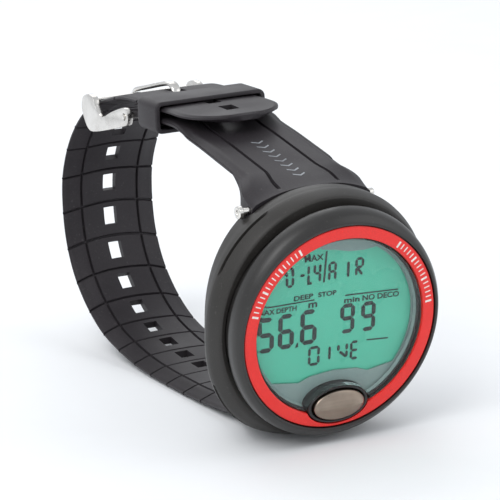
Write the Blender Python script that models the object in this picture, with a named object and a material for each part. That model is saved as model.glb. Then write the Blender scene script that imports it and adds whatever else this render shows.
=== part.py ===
"""Wrist dive computer on a buckled rubber strap, as separate parts in metres, +Z up.

The watch is drawn in its dial frame: X to 3 o'clock, Y from the lens towards the wrist and
Z to 12 o'clock, with the middle of the red ring's face at the origin. The empty "stand"
leans that frame forward until the case and the belly of the strap share the ground, Z = 0.
Every size and every list below is in millimetres, and MM turns them into metres.
"""

import math

import bmesh
import bpy
from mathutils import Matrix, Vector

MM = 0.001

# Stance
LEAN = 9.587                    # degrees the dial leans forward on the ground
STAND_Y = -67.035                # moves the object's middle over the origin
STAND_Z = 30.115                # lifts its lowest points to the ground

# Case, bezel and lens
RIM_Y = 7.2                     # front rim of the case shell
BORE = 20.2                     # radius of the case shell's inside
SPIGOT = 27.2                   # bezel's neck, which plugs into the case shell
CHAMBER = 24.7                  # room for the display inside the bezel
SHOULDER_Y = 9.4                # step in the case shell that the bezel's neck stops at
BACK_Y = 21.3                   # back rim of the case shell
CAN = 23.6                      # round wall left behind the straps' ends
RING_IN = 22.85
RING_OUT = 25.95
LENS = 22.45
ROUND = 48                      # points round a large ring

# Mode button at 6 o'clock
BUTTON_Z = -20.2
HOUSING = (8.3, 4.8)            # half width and half height of its oval housing
POCKET = (7.3, 4.1)
CAP = (6.95, 3.8)
HOUSING_CUT = (8.6, 5.1)

# Back
COVER = (24.6, 22.1)            # half axes of the back cover
RECESS = (24.9, 22.4)
COVER_IN_Y = 19.9
COVER_OUT_Y = 21.5
HATCH = 14.3                    # hole for the battery cover
SCREW_AT = (21.4, 5.5)

# Strap and its lug pins
NOTCH = 16.6                    # half width of the notches that the straps plug into
NOTCH_Y = 15.9
PIN_Y = 18.2
PIN_Z = 26.0
PIN = 1.0
STRAP = 14.0                    # half width
LUG_END = 16.2                  # half width at the case
STEP = 3.4                      # length of the straps' facets
SLOT = (3.9, 5.2)
SLOT_PITCH = 10.35
SLOT_COUNT = 18
FIRST_SLOT = 10.3               # from the tip of the tail to the first slot
SLOT_SKIP = 2.7                 # extra strap after the four slots nearest the tip

# Buckle and keeper, which lie along one straight line in the side view
LINE_Y = 78.0
LINE_Z = 31.4
LINE_DROP = 0.15                # fall of that line for each millimetre towards the wrist's back
PIVOT = (90.4, 27.2)            # buckle pin, as Y and Z
PLATE_IN = 15.0
PLATE_OUT = 16.5
BAR = (114.7, 25.3)             # cross bar of the buckle
KEEPER_Y = (71.9, 83.2)
KEEPER_OUT = (15.9, 4.2)
KEEPER_IN = (14.6, 3.1)


def clear_scene():
    for item in list(bpy.data.objects):
        bpy.data.objects.remove(item, do_unlink=True)


def finish(name, colour, roughness, metallic=0.0):
    made = bpy.data.materials.new(name)
    made.use_nodes = True
    shader = made.node_tree.nodes["Principled BSDF"]
    shader.inputs["Base Color"].default_value = (*colour, 1.0)
    shader.inputs["Roughness"].default_value = roughness
    shader.inputs["Metallic"].default_value = metallic
    return made


def empty(name, location, parent=None):
    made = bpy.data.objects.new(name, None)
    made.location = Vector(location) * MM
    made.parent = parent
    bpy.context.scene.collection.objects.link(made)
    return made


def body(name, bm, look, parent, sharp=32.0):
    """Turns a bmesh drawn in the dial frame into an object whose origin is its parent's."""
    bmesh.ops.recalc_face_normals(bm, faces=bm.faces)
    mesh = bpy.data.meshes.new(name)
    bm.to_mesh(mesh)
    bm.free()
    if parent.parent:
        mesh.transform(Matrix.Translation(-parent.location))
    mesh.materials.append(look)
    mesh.shade_smooth()
    mesh.set_sharp_from_angle(angle=math.radians(sharp))
    made = bpy.data.objects.new(name, mesh)
    made.parent = parent
    bpy.context.scene.collection.objects.link(made)
    return made


def combine(target, other, operation):
    other.hide_render = True
    other.display_type = "WIRE"
    modifier = target.modifiers.new(other.name, "BOOLEAN")
    modifier.operation = operation
    modifier.solver = "EXACT"
    modifier.object = other


def oval(half_x, half_z, y, centre_z=0.0, power=2.0, upper_power=None, count=ROUND):
    """A ring of points in a plane of constant Y, round for power 2 and squarer above it.

    The upper half may have a power of its own.
    """
    points = []
    for step in range(count):
        angle = 2 * math.pi * step / count
        across = math.cos(angle)
        along = math.sin(angle)
        p = upper_power if upper_power and along >= 0 else power
        reach = (abs(across / half_x) ** p + abs(along / half_z) ** p) ** (-1 / p)
        points.append((reach * across, y, centre_z + reach * along))
    return points


def loft(rings, joined=False, bm=None):
    """Skins rings of equal length. A joined loft closes on itself, another gets flat ends."""
    bm = bm or bmesh.new()
    rows = [[bm.verts.new(Vector(point) * MM) for point in ring] for ring in rings]
    count = len(rows[0])
    pairs = list(zip(rows, rows[1:]))
    if joined:
        pairs.append((rows[-1], rows[0]))
    else:
        bm.faces.new(rows[0])
        bm.faces.new(reversed(rows[-1]))
    for low, high in pairs:
        for side in range(count):
            after = (side + 1) % count
            bm.faces.new((low[side], low[after], high[after], high[side]))
    return bm


def turned(profile, joined=False, centre=(0.0, 0.0), count=ROUND, bm=None):
    """A body turned about a line along Y, from a profile of (radius, y)."""
    rings = []
    for radius, y in profile:
        ring = oval(radius, radius, y, centre[1], count=count)
        rings.append([(x + centre[0], depth, z) for x, depth, z in ring])
    return loft(rings, joined, bm)


def plate(outline, low_y, high_y, bm=None):
    """A flat body between two depths, from an outline of (x, z)."""
    return loft([[(x, y, z) for x, z in outline] for y in (low_y, high_y)], bm=bm)


def side_plate(outline, low_x, high_x, bm=None):
    """A flat body between two values of X, from an outline of (y, z)."""
    return loft([[(x, y, z) for y, z in outline] for x in (low_x, high_x)], bm=bm)


def circle_outline(centre, radius, count=16, first=0.0, sweep=360.0):
    """Points on an arc. A full circle doesn't repeat its first point."""
    last = count if sweep == 360.0 else count - 1
    points = []
    for step in range(count):
        angle = math.radians(first + sweep * step / last)
        points.append((centre[0] + radius * math.cos(angle), centre[1] + radius * math.sin(angle)))
    return points


def rectangle(half_x, half_z, centre=(0.0, 0.0)):
    corners = ((-1, -1), (1, -1), (1, 1), (-1, 1))
    return [(centre[0] + half_x * i, centre[1] + half_z * j) for i, j in corners]


def rounded_rectangle(half_x, half_z, radius, steps=4):
    points = []
    for quarter, (i, j) in enumerate(((1, 1), (-1, 1), (-1, -1), (1, -1))):
        centre = (i * (half_x - radius), j * (half_z - radius))
        points += circle_outline(centre, radius, steps, quarter * 90.0, 90.0)
    return points


def smooth_route(points, step):
    """Even points along a curve that passes smoothly through the given (y, z) points."""
    fine = []
    padded = [points[0], *points, points[-1]]
    for before, start, end, after in zip(padded, padded[1:], padded[2:], padded[3:]):
        for part in range(16):
            t = part / 16
            fine.append(tuple(
                0.5 * (2 * s + (e - b) * t + (2 * b - 5 * s + 4 * e - a) * t ** 2
                       + (3 * s - b - 3 * e + a) * t ** 3)
                for b, s, e, a in zip(before, start, end, after)))
    fine.append(points[-1])
    lengths = [0.0]
    for start, end in zip(fine, fine[1:]):
        lengths.append(lengths[-1] + math.dist(start, end))
    count = max(2, round(lengths[-1] / step))
    even = []
    place = 0
    for number in range(count + 1):
        wanted = lengths[-1] * number / count
        while place < len(fine) - 2 and lengths[place + 1] < wanted:
            place += 1
        share = (wanted - lengths[place]) / (lengths[place + 1] - lengths[place])
        even.append(tuple(s + (e - s) * share for s, e in zip(fine[place], fine[place + 1])))
    return even, lengths[-1]


def side_frames(route, outward):
    """Each point of a route with the unit normal of its side view that points out of the loop."""
    frames = []
    for place, point in enumerate(route):
        before = route[max(place - 1, 0)]
        after = route[min(place + 1, len(route) - 1)]
        run = math.dist(before, after)
        along = ((after[0] - before[0]) / run, (after[1] - before[1]) / run)
        frames.append((point, along, (-outward * along[1], outward * along[0])))
    return frames


def strap_section(frame, half_width, inner, outer, crown):
    """A strap's cross-section: thin edges inside, a crowned face with worn edges outside."""
    (y, z), _, normal = frame
    bevel = min(1.6, 0.3 * half_width)
    shape = (
        (-half_width, -inner + 0.8), (-0.62 * half_width, -inner), (0.62 * half_width, -inner),
        (half_width, -inner + 0.8), (half_width, outer - crown - 0.5),
        (half_width - bevel, outer - crown), (0.5 * half_width, outer - 0.25 * crown),
        (-0.5 * half_width, outer - 0.25 * crown), (bevel - half_width, outer - crown),
        (-half_width, outer - crown - 0.5))
    return [(x, y + normal[0] * out, z + normal[1] * out) for x, out in shape]


def blend(low, high, share):
    """Eases from low to high as share goes from 0 to 1."""
    share = min(max(share, 0.0), 1.0)
    return low + (high - low) * share * share * (3 - 2 * share)


def keeper_line(y, above=0.0):
    """Height of the line between the two straps at the keeper, plus an offset across it."""
    return LINE_Z - LINE_DROP * (y - LINE_Y) + above * math.hypot(1, LINE_DROP)


UPPER_ROUTE = [
    (16.2, 30.5), (21.0, 30.7), (28.0, 30.9), (40.0, 31.4), (50.0, 31.8), (58.0, 31.9),
    (65.0, keeper_line(65.0, -1.3)), (71.5, keeper_line(71.5, -1.3)),
    (80.0, keeper_line(80.0, -1.3)), (86.0, keeper_line(86.0, -1.3)), (92.3, 26.5)]
LOWER_ROUTE = [
    (16.2, -31.6), (24.0, -32.2), (31.0, -33.4), (38.4, -35.0), (47.2, -37.1), (56.0, -38.9),
    (64.0, -40.3), (75.0, -42.1), (86.3, -43.4), (97.5, -43.7), (109.3, -42.8), (119.8, -39.3),
    (128.7, -33.4), (134.6, -25.4), (137.4, -15.9), (137.5, -5.8), (133.6, 4.3), (127.6, 12.6),
    (120.4, 19.2), (112.4, 23.7), (105.0, 26.9), (98.5, 29.4), (92.5, keeper_line(92.5, 1.6)),
    (85.5, keeper_line(85.5, 1.72)), (78.0, keeper_line(78.0, 1.72)),
    (71.5, keeper_line(71.5, 1.72)), (65.0, keeper_line(65.0, 1.85)), (58.0, 36.1), (51.5, 37.3)]


def make_case(stand, looks):
    shell = body("case_shell", loft([
        oval(28.3, 30.5, RIM_Y),
        oval(29.5, 31.4, 9.0, -0.2, 2.2, 2.05),
        oval(30.2, 32.0, 11.6, -0.5, 2.35, 2.1),
        oval(29.6, 32.0, 14.0, -0.6, 2.35, 2.12),
        oval(28.4, 31.7, 16.2, -0.6, 2.3, 2.15),
        oval(27.0, 31.1, 19.0, -0.5, 2.25, 2.2),
        oval(26.3, 30.3, 20.7, -0.4, 2.2, 2.2),
        oval(25.9, 29.6, BACK_Y, -0.3, 2.15),
        oval(*RECESS, BACK_Y),
        oval(*RECESS, 19.3),
        oval(BORE, BORE, 19.3),
        oval(BORE, BORE, SHOULDER_Y),
        oval(SPIGOT + 0.3, SPIGOT + 0.3, SHOULDER_Y),
        oval(SPIGOT + 0.3, SPIGOT + 0.3, RIM_Y)], joined=True), looks["case"], stand)
    for side in (1, -1):
        corner = math.degrees(math.acos(NOTCH / CAN))
        arc = circle_outline((0.0, 0.0), CAN, 13, corner, 180.0 - 2 * corner)
        outline = [(x, side * z) for x, z in [*arc, (-NOTCH, 40.0), (NOTCH, 40.0)]]
        name = "notch_top" if side > 0 else "notch_bottom"
        combine(shell, body(name, plate(outline, NOTCH_Y, 30.0), looks["case"], stand), "DIFFERENCE")
        hole = side_plate(circle_outline((PIN_Y, side * PIN_Z), 1.85, 16), -25.0, 25.0)
        combine(shell, body(name + "_pin_hole", hole, looks["case"], stand), "DIFFERENCE")
    holes = body("screw_holes", screw_bores([(0.95, 17.2), (0.95, 19.8)]), looks["case"], stand)
    combine(shell, holes, "DIFFERENCE")
    combine(shell, body("side_slits", slits(), looks["case"], stand), "DIFFERENCE")


def slits():
    """Four shallow grooves that run round the case's corners, outside the bezel."""
    bm = bmesh.new()
    for first in (118, 27, 208, 297):
        rings = []
        for step in range(8):
            angle = math.radians(first + 35 * step / 7)
            across = math.cos(angle)
            along = math.sin(angle)
            p = 2.1 if along > 0 else 2.35
            reach = (abs(across / 30.1) ** p + abs(along / 31.9) ** p) ** (-1 / p)
            low = reach - 0.7
            high = reach + 4.0
            corners = ((low, 11.0), (high, 11.0), (high, 11.8), (low, 11.8))
            rings.append([(r * across, y, r * along) for r, y in corners])
        loft(rings, bm=bm)
    return bm


def screw_places():
    return [(i * SCREW_AT[0], j * SCREW_AT[1]) for i in (1, -1) for j in (1, -1)]


def screw_bores(profile):
    """Four turned cutters, one for each screw of the back cover."""
    bm = bmesh.new()
    for place in screw_places():
        turned(profile, centre=place, count=10, bm=bm)
    return bm


def make_front(stand, looks):
    button_cut = body("button_opening", loft([
        oval(*HOUSING_CUT, y, BUTTON_Z, count=32) for y in (-3.0, 7.65)]), looks["case"], stand)
    bezel = body("bezel_ring", loft([
        oval(26.25, 26.25, -0.55),
        oval(26.8, 26.9, -0.6),
        oval(27.5, 27.9, -0.1),
        oval(27.9, 28.7, 0.8),
        oval(28.2, 29.4, 2.2),
        oval(28.2, 29.6, 3.8),
        oval(27.9, 29.5, 4.9),
        oval(SPIGOT, SPIGOT, 4.9),
        oval(SPIGOT, SPIGOT, 9.1),
        oval(CHAMBER, CHAMBER, 9.1),
        oval(CHAMBER, CHAMBER, 2.5),
        oval(22.75, 22.75, 2.5),
        oval(22.75, 22.75, 1.0),
        oval(26.25, 26.25, 1.0)], joined=True), looks["bezel"], stand)
    ring = body("dial_ring", turned([
        (RING_IN, 0.7), (RING_IN, -0.15), (RING_IN + 0.25, -0.35), (RING_OUT - 0.25, -0.35),
        (RING_OUT, -0.15), (RING_OUT, 0.7)], joined=True), looks["red"], stand)
    lens = body("lens", turned([
        (LENS, 1.1), (LENS, -0.35), (LENS - 0.6, -0.75), (12.0, -1.1)]), looks["glass"], stand)
    gasket = body("lens_gasket", turned([
        (21.95, 1.25), (LENS, 1.25), (LENS, 1.65), (21.95, 1.65)], joined=True), looks["rubber"], stand)
    surround = body("display_surround", turned([
        (22.1, 1.85), (LENS, 1.85), (LENS, 2.4), (21.5, 2.4)], joined=True), looks["grey"], stand)
    mask = body("display_mask", turned([(24.3, 2.75), (24.3, 3.05)]), looks["grey"], stand)
    window = body("mask_window", plate(window_outline(), 2.0, 4.0), looks["grey"], stand)
    combine(mask, window, "DIFFERENCE")
    chassis = body("display_chassis", turned([
        (24.4, 3.35), (24.4, 7.3), (19.8, 7.3), (19.8, 6.4), (22.2, 6.4), (22.2, 3.35)],
        joined=True), looks["grey"], stand)
    for piece in (bezel, ring, lens, gasket, surround, mask, chassis):
        combine(piece, button_cut, "DIFFERENCE")
    body("display_panel", plate(clipped_disc(21.9, -14.6, 30.0), 3.35, 4.95), looks["panel"], stand)
    body("backlight", plate(clipped_disc(21.7, -14.4, 15.8), 5.2, 6.1), looks["white"], stand)
    body("display_connector", plate(rectangle(6.0, 0.8, (0.0, 17.3)), 5.15, 7.75), looks["rubber"], stand)


def window_outline():
    """The window in the mask: round sides, a wave at the top and a hump over the button."""
    right = circle_outline((0.0, 0.0), 21.2, 13, -38.0, 98.0)
    wave = [(7.0, 18.0), (3.0, 18.3), (-1.0, 19.3), (-6.0, 20.0)]
    left = circle_outline((0.0, 0.0), 21.2, 13, 115.0, 103.0)
    hump = [(-9.5, -14.2), (-6.5, -13.0), (0.0, -12.4), (6.5, -13.0), (9.5, -14.2)]
    return [*right, *wave, *left, *hump]


def clipped_disc(radius, low_z, high_z):
    """A disc outline with its bottom and top cut off flat."""
    points = []
    for x, z in circle_outline((0.0, 0.0), radius, 40):
        points.append((x, min(max(z, low_z), high_z)))
    kept = []
    for point in points:
        flat = kept and kept[-1][1] == point[1] and point[1] in (low_z, high_z)
        if flat and len(kept) > 1 and kept[-2][1] == point[1]:
            kept[-1] = point
        else:
            kept.append(point)
    return kept


def make_button(stand, looks):
    body("button_housing", loft([
        oval(*HOUSING, -0.3, BUTTON_Z, count=32),
        oval(*HOUSING, 6.4, BUTTON_Z, count=32),
        oval(1.7, 1.7, 6.4, BUTTON_Z, count=32),
        oval(1.7, 1.7, 4.4, BUTTON_Z, count=32),
        oval(*POCKET, 4.4, BUTTON_Z, count=32),
        oval(*POCKET, -0.3, BUTTON_Z, count=32)], joined=True), looks["case"], stand)
    press = empty("button_axis", (0.0, 0.0, BUTTON_Z), stand)
    body("button_cap", loft([
        oval(*CAP, 1.0, BUTTON_Z, count=32),
        oval(*CAP, -1.0, BUTTON_Z, count=32),
        oval(6.5, 3.35, -1.6, BUTTON_Z, count=32),
        oval(5.2, 0.5, -2.3, BUTTON_Z, count=32)]), looks["bronze"], press)
    body("button_stem", turned([
        (1.4, 1.2), (1.4, 4.7), (1.0, 4.75), (1.0, 5.35), (1.4, 5.4), (1.4, 5.9)],
        centre=(0.0, BUTTON_Z), count=16), looks["steel"], press)
    ring = [(1.33 + 0.27 * c, 5.05 + 0.27 * s) for c, s in circle_outline((0.0, 0.0), 1.0, 8)]
    body("button_oring", turned(ring, joined=True, centre=(0.0, BUTTON_Z), count=16), looks["rubber"], press)
    body("button_spring", spring(2.6, 0.25, 1.4, 4.1, 3.0), looks["steel"], press)
    body("switch", plate(rectangle(3.0, 2.4, (0.0, BUTTON_Z)), 7.1, 7.85), looks["steel"], stand)


def spring(radius, wire, low_y, high_y, turns):
    rings = []
    count = round(12 * turns)
    for step in range(count + 1):
        angle = 2 * math.pi * turns * step / count
        depth = low_y + (high_y - low_y) * step / count
        out = Vector((math.cos(angle), 0.0, math.sin(angle)))
        centre = out * radius + Vector((0.0, depth, BUTTON_Z))
        ring = circle_outline((0.0, 0.0), wire, 6)
        rings.append([centre + out * a + Vector((0.0, b, 0.0)) for a, b in ring])
    return loft(rings)


def make_inside(stand, looks):
    body("circuit_board", turned([(24.2, 8.0), (24.2, 9.0)]), looks["board"], stand)
    body("processor", plate(rectangle(4.0, 4.0, (-9.5, 7.5)), 9.15, 10.4), looks["rubber"], stand)
    body("pressure_sensor", turned([
        (2.8, 9.2), (2.8, 16.5), (1.9, 16.6), (1.9, 19.5)],
        centre=(0.0, 16.95), count=20), looks["steel"], stand)
    body("buzzer", turned([(5.0, 9.2), (5.0, 11.6)], centre=(0.0, -14.6), count=24), looks["brass"], stand)
    body("battery_tray", turned([
        (13.8, 12.2), (13.8, 19.4), (13.0, 19.4), (13.0, 13.0)], count=36), looks["grey"], stand)
    body("battery_contact", plate(rectangle(2.0, 6.5), 13.15, 13.4), looks["brass"], stand)
    body("coin_cell", turned([
        (11.2, 13.7), (11.2, 13.9), (12.1, 14.1), (12.1, 16.9)], count=36), looks["steel"], stand)


def make_back(stand, looks):
    cover = body("back_cover", loft([
        oval(*COVER, COVER_IN_Y),
        oval(*COVER, 21.1),
        oval(COVER[0] - 0.4, COVER[1] - 0.4, COVER_OUT_Y),
        oval(HATCH, HATCH, COVER_OUT_Y),
        oval(HATCH, HATCH, COVER_IN_Y)], joined=True), looks["case"], stand)
    stepped = screw_bores([(0.95, 19.0), (0.95, 20.55), (1.7, 20.55), (1.7, 23.0)])
    combine(cover, body("cover_holes", stepped, looks["case"], stand), "DIFFERENCE")
    ports = bmesh.new()
    for x in (-1.1, 0.0, 1.1):
        turned([(0.4, 19.0), (0.4, 23.0)], centre=(x, 16.95), count=8, bm=ports)
    combine(cover, body("sensor_ports", ports, looks["case"], stand), "DIFFERENCE")
    body("back_gasket", turned([
        (20.5, 19.45), (21.0, 19.45), (21.0, 19.75), (20.5, 19.75)], joined=True), looks["rubber"], stand)
    for number, place in enumerate(screw_places(), 1):
        screw = turned([(0.7, 17.5), (0.7, 20.7), (1.4, 20.7), (1.4, 21.4)], centre=place, count=10)
        body(f"back_screw_{number}", screw, looks["steel"], stand)
    lift = empty("battery_axis", (0.0, BACK_Y, 0.0), stand)
    hatch = body("battery_cover", turned([
        (11.8, 17.3), (12.4, 17.8), (12.4, 18.5), (11.8, 18.55), (11.8, 19.35), (12.4, 19.4),
        (12.4, 19.9), (13.6, 19.95), (13.6, 21.2), (13.3, 21.4)], count=32), looks["case"], lift)
    slot = body("coin_slot", plate(rectangle(8.0, 0.9), 20.8, 23.0), looks["case"], stand)
    combine(hatch, slot, "DIFFERENCE")
    ring = [(12.4 + 0.33 * c, 18.95 + 0.33 * s) for c, s in circle_outline((0.0, 0.0), 1.0, 6)]
    body("battery_oring", turned(ring, joined=True, count=32), looks["rubber"], lift)


def make_pins(stand, looks):
    for name, side in (("upper_lug_pin", 1), ("lower_lug_pin", -1)):
        rings = []
        for x, radius in ((-19.4, 1.2), (-19.2, 1.6), (-18.2, 1.6), (-18.2, PIN), (17.8, PIN), (18.0, 0.75)):
            outline = circle_outline((PIN_Y, side * PIN_Z), radius, 12)
            rings.append([(x, y, z) for y, z in outline])
        body(name, loft(rings), looks["steel"], stand)


def make_upper_strap(stand, looks):
    route, length = smooth_route(UPPER_ROUTE, STEP)
    rings = []
    for place, frame in enumerate(side_frames(route, 1)):
        run = length * place / (len(route) - 1)
        width = blend(LUG_END, STRAP, (run - 5.0) / 7.0)
        inner = blend(9.5, 1.1, (run - 1.5) / 16.0)
        crown = blend(3.6, 1.2, run / 12.0)
        crown = blend(crown, 0.15, (run - 40.0) / 8.0)
        inner = blend(1.6, inner, (length - run) / 6.0)
        outer = blend(1.6, 1.1, (length - run) / 6.0)
        rings.append(strap_section(frame, width, inner, outer, crown))
    strap = body("upper_strap", loft(rings), looks["strap"], stand)
    lug_cuts(strap, "upper", 1, stand, looks)
    eye = side_plate(circle_outline(PIVOT, 0.95, 12), -20.0, 20.0)
    combine(strap, body("buckle_pin_hole", eye, looks["strap"], stand), "DIFFERENCE")
    gap = side_plate([(86.4, 20.0), (96.0, 20.0), (96.0, 35.0), (86.4, 35.0)], -2.1, 2.1)
    combine(strap, body("prong_gap", gap, looks["strap"], stand), "DIFFERENCE")


def lug_cuts(strap, name, side, stand, looks):
    """Hollows a strap's end round the case and bores it for its lug pin."""
    can = turned([(CAN + 0.3, 5.0), (CAN + 0.3, BACK_Y + 0.3)])
    combine(strap, body(name + "_can_clearance", can, looks["case"], stand), "DIFFERENCE")
    bore = side_plate(circle_outline((PIN_Y, side * PIN_Z), PIN + 0.15, 12), -25.0, 25.0)
    combine(strap, body(name + "_lug_bore", bore, looks["case"], stand), "DIFFERENCE")


def make_lower_strap(stand, looks):
    route, length = smooth_route(LOWER_ROUTE, STEP)
    frames = side_frames(route, -1)
    rings = []
    for place, frame in enumerate(frames):
        run = length * place / (len(route) - 1)
        left = length - run
        width = blend(LUG_END, STRAP, (run - 5.0) / 7.0)
        if left < 12.5:
            width = STRAP * math.sqrt(max(1 - (1 - left / 12.5) ** 2, 0.09))
        inner = blend(9.5, 1.05, (run - 1.5) / 16.0)
        crown = blend(3.4, 0.1, run / 20.0)
        rings.append(strap_section(frame, width, inner, 1.05, crown))
    strap = body("lower_strap", loft(rings), looks["strap"], stand)
    lug_cuts(strap, "lower", -1, stand, looks)
    slots = bmesh.new()
    for number in range(SLOT_COUNT):
        run = length - FIRST_SLOT - SLOT_PITCH * number - (SLOT_SKIP if number > 3 else 0.0)
        place = run / length * (len(route) - 1)
        low = int(place)
        share = place - low
        centre = [s + (e - s) * share for s, e in zip(route[low], route[low + 1])]
        along, out = frames[low][1:]
        corners = []
        for i, j in ((-1, -1), (1, -1), (1, 1), (-1, 1)):
            a = i * SLOT[1] / 2
            b = j * 2.5
            corners.append((centre[0] + along[0] * a + out[0] * b, centre[1] + along[1] * a + out[1] * b))
        side_plate(corners, -SLOT[0] / 2, SLOT[0] / 2, bm=slots)
    combine(strap, body("strap_slots", slots, looks["strap"], stand), "DIFFERENCE")


def make_buckle(stand, looks):
    tilt = empty("buckle_axis", (0.0, *PIVOT), stand)
    outline = [
        *circle_outline(PIVOT, 2.5, 6, 75.0, 165.0), (111.0, 16.2), (114.6, 16.6), (118.2, 20.6),
        (117.2, 24.8), (114.2, 27.0), (110.4, 26.5), (109.2, 23.6), (105.2, 22.1), (98.4, 26.2)]
    frame = body("buckle_frame", side_plate(outline, -PLATE_OUT, -PLATE_IN), looks["steel"], tilt)
    other = body("buckle_plate", side_plate(outline, PLATE_IN, PLATE_OUT), looks["steel"], tilt)
    combine(frame, other, "UNION")
    bar = [(BAR[0] + 1.7 * math.cos(a), BAR[1] + 1.05 * math.sin(a)) for a in (
        2 * math.pi * k / 12 for k in range(12))]
    cross = body("buckle_bar", side_plate(bar, 0.5 - PLATE_OUT, PLATE_OUT - 0.5), looks["steel"], tilt)
    combine(frame, cross, "UNION")
    eyes = side_plate(circle_outline(PIVOT, 0.95, 12), -20.0, 20.0)
    combine(frame, body("frame_eyes", eyes, looks["steel"], tilt), "DIFFERENCE")
    body("buckle_pin", side_plate(circle_outline(PIVOT, 0.75, 12), -16.9, 16.9), looks["steel"], stand)
    make_prong(tilt, looks)


def make_prong(tilt, looks):
    """A bent bar: an eye on the pin, a rise through the strap's slot and a tip over the bar."""
    eye = side_plate(circle_outline(PIVOT, 1.6, 16), -1.8, 1.8)
    prong = body("buckle_prong", eye, looks["steel"], tilt)
    spine = [
        (91.0, 28.1), (92.0, 29.1), (92.7, 30.3), (93.3, 31.6), (94.6, 32.5), (96.6, 32.6),
        (100.0, 31.8), (104.0, 30.6), (109.0, 28.9), (113.6, 27.4), (117.6, 26.3), (120.4, 24.6)]
    rings = []
    for (y, z), _, normal in side_frames(spine, 1):
        rings.append([
            (x, y + normal[0] * out, z + normal[1] * out)
            for x, out in ((-1.3, -0.65), (1.3, -0.65), (1.3, 0.45), (0.8, 0.7), (-0.8, 0.7), (-1.3, 0.45))])
    arm = body("prong_arm", loft(rings), looks["steel"], tilt)
    combine(prong, arm, "UNION")
    bore = side_plate(circle_outline(PIVOT, 0.95, 12), -5.0, 5.0)
    combine(prong, body("prong_bore", bore, looks["steel"], tilt), "DIFFERENCE")


def make_keeper(stand, looks):
    middle = sum(KEEPER_Y) / 2
    slide = empty("keeper_axis", (0.0, middle, keeper_line(middle)), stand)
    lean = math.hypot(1, LINE_DROP)
    rings = []
    for end, (half_x, half_z), radius in (
            (0, KEEPER_OUT, 1.9), (1, KEEPER_OUT, 1.9), (1, KEEPER_IN, 0.7), (0, KEEPER_IN, 0.7)):
        ring = []
        for x, out in rounded_rectangle(half_x, half_z, radius):
            y = KEEPER_Y[end] + out * LINE_DROP / lean
            ring.append((x, y, keeper_line(KEEPER_Y[end]) + out / lean))
        rings.append(ring)
    body("keeper", loft(rings, joined=True), looks["strap"], slide)


def main():
    clear_scene()
    looks = {
        "case": finish("case_rubber", (0.045, 0.043, 0.040), 0.55),
        "bezel": finish("bezel_satin", (0.020, 0.019, 0.018), 0.38),
        "red": finish("ring_red", (0.72, 0.035, 0.025), 0.35),
        "glass": finish("lens_glass", (0.85, 0.90, 0.90), 0.05),
        "rubber": finish("seal_rubber", (0.015, 0.015, 0.015), 0.60),
        "grey": finish("inner_grey", (0.30, 0.36, 0.36), 0.45),
        "panel": finish("display_teal", (0.14, 0.45, 0.36), 0.30),
        "white": finish("backlight_white", (0.80, 0.82, 0.78), 0.50),
        "bronze": finish("button_bronze", (0.28, 0.23, 0.19), 0.30, 0.9),
        "steel": finish("satin_steel", (0.62, 0.61, 0.59), 0.28, 1.0),
        "brass": finish("contact_brass", (0.70, 0.52, 0.22), 0.30, 1.0),
        "board": finish("board_green", (0.02, 0.16, 0.07), 0.45),
        "strap": finish("strap_rubber", (0.040, 0.037, 0.040), 0.60)}
    stand = empty("stand", (0.0, STAND_Y, STAND_Z))
    stand.rotation_euler = (math.radians(LEAN), 0.0, 0.0)
    make_case(stand, looks)
    make_front(stand, looks)
    make_button(stand, looks)
    make_inside(stand, looks)
    make_back(stand, looks)
    make_pins(stand, looks)
    make_upper_strap(stand, looks)
    make_lower_strap(stand, looks)
    make_buckle(stand, looks)
    make_keeper(stand, looks)


main()
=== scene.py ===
import math

import bmesh
import bpy
from mathutils import Matrix, Vector


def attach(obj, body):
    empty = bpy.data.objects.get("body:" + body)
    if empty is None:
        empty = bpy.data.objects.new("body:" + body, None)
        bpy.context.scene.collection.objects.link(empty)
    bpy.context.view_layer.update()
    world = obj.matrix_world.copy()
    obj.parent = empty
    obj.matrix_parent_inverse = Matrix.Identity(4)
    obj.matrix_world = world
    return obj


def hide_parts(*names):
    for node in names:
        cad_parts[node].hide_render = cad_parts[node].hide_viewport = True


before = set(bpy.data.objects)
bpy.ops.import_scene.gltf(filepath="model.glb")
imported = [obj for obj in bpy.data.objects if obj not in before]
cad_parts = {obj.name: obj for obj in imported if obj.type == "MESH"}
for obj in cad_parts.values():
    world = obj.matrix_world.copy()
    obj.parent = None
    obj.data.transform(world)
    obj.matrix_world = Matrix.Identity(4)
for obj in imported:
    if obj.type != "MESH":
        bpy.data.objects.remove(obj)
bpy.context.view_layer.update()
scene = bpy.context.scene
print("frame loaded:", len(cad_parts), "nodes")

mm = 0.001

# The dial's own frame: X to 3 o'clock, Y towards the wrist, Z to 12 o'clock, in millimetres
stance = {"lean": 9.587, "y": -67.035, "z": 30.115}
lift = Matrix.Translation(Vector((0, stance["y"], stance["z"])) * mm)
dialToRow = lift @ Matrix.Rotation(math.radians(stance["lean"]), 4, "X") @ Matrix.Scale(mm, 4)

# ---- node groups shared by the finishes


def newGroup(name, inputs, outputs):
    group = bpy.data.node_groups.new(name, "ShaderNodeTree")
    for label, kind, value in inputs:
        made = group.interface.new_socket(label, in_out="INPUT", socket_type="NodeSocket" + kind)
        made.default_value = value
    for label, kind in outputs:
        group.interface.new_socket(label, in_out="OUTPUT", socket_type="NodeSocket" + kind)
    return group, group.nodes.new("NodeGroupInput"), group.nodes.new("NodeGroupOutput")


def mixColors(tree, share, first, second, blendType="MIX"):
    node = tree.nodes.new("ShaderNodeMix")
    node.data_type = "RGBA"
    node.blend_type = blendType
    for socket, value in ((node.inputs[0], share), (node.inputs[6], first), (node.inputs[7], second)):
        if isinstance(value, (int, float, tuple)):
            socket.default_value = value
        else:
            tree.links.new(value, socket)
    return node.outputs[2]


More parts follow.
